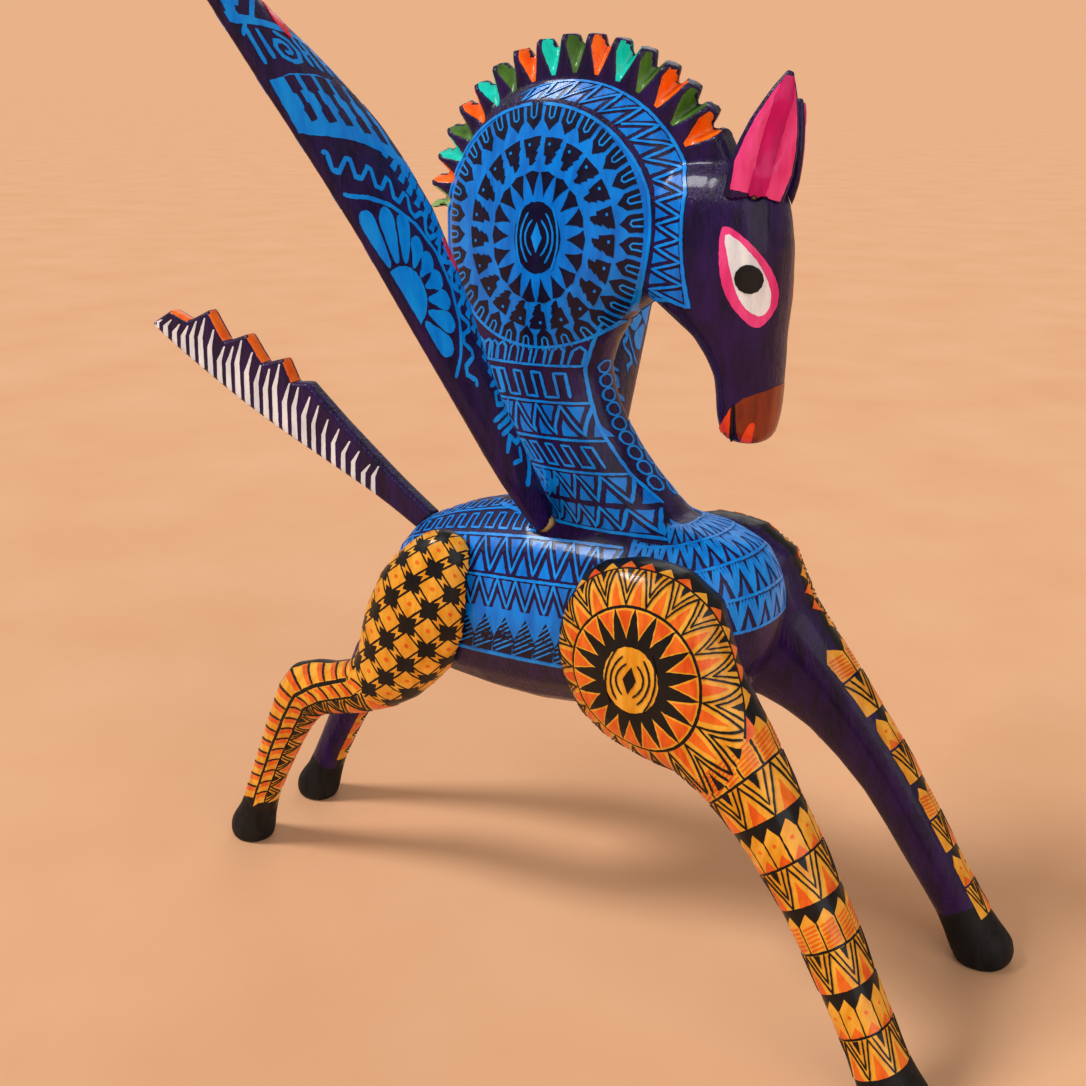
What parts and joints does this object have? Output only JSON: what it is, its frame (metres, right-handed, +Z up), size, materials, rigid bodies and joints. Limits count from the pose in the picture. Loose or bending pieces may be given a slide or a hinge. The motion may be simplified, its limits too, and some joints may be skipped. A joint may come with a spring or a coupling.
{
  "type": "alebrije figure",
  "caption": "Carved wooden winged horse with an arched neck, toothed mane, splayed glued legs and plug-in wings, tail and ears, painted all over in fine geometric patterns.",
  "frame": {"origin": "on the ground, under the middle of the whole figure's box", "axes": "+X the way the animal faces, +Y its left, +Z up; the four soles stand on Z = 0"},
  "size_m": [0.3158, 0.3018, 0.3117],
  "materials": {
    "purple_paint": "deep purple acrylic paint with blue brush patterns under clear varnish",
    "ochre_paint": "yellow ochre and orange acrylic paint with black brush patterns under clear varnish",
    "blue_paint": "azure acrylic patterns on purple under clear varnish",
    "striped_paint": "deep purple acrylic with white brush stripes under clear varnish",
    "pink_paint": "pink acrylic under clear varnish",
    "bare_wood": "unpainted softwood, hidden in the joints"
  },
  "bodies": {
    "carving": {"body": "purple_paint", "front_right_leg": "ochre_paint", "front_left_leg": "ochre_paint", "rear_right_leg": "ochre_paint", "rear_left_leg": "ochre_paint", "front_right_dowel_1": "bare_wood", "front_right_dowel_2": "bare_wood", "front_left_dowel_1": "bare_wood", "front_left_dowel_2": "bare_wood", "rear_right_dowel_1": "bare_wood", "rear_right_dowel_2": "bare_wood", "rear_left_dowel_1": "bare_wood", "rear_left_dowel_2": "bare_wood"},
    "right_wing": {"right_wing": "blue_paint", "right_wing_peg": "bare_wood"},
    "left_wing": {"left_wing": "blue_paint", "left_wing_peg": "bare_wood"},
    "tail": {"tail": "striped_paint", "tail_peg": "bare_wood"},
    "right_ear": {"right_ear": "pink_paint", "right_ear_peg": "bare_wood"},
    "left_ear": {"left_ear": "pink_paint", "left_ear_peg": "bare_wood"}
  },
  "joints": [
    {"name": "right_wing_slide", "type": "slide", "parent": "carving", "child": "right_wing", "axis": [-0.1814, -0.536, 0.8245], "range_m": [0, 0.013]},
    {"name": "left_wing_slide", "type": "slide", "parent": "carving", "child": "left_wing", "axis": [-0.2102, 0.8009, 0.5606], "range_m": [0, 0.013]},
    {"name": "tail_slide", "type": "slide", "parent": "carving", "child": "tail", "axis": [-0.8313, 0, 0.5559], "range_m": [0, 0.012]},
    {"name": "right_ear_slide", "type": "slide", "parent": "carving", "child": "right_ear", "axis": [0.2289, 0.0889, 0.9694], "range_m": [0, 0.005]},
    {"name": "left_ear_slide", "type": "slide", "parent": "carving", "child": "left_ear", "axis": [0.2643, -0.109, 0.9582], "range_m": [0, 0.005]}
  ]
}
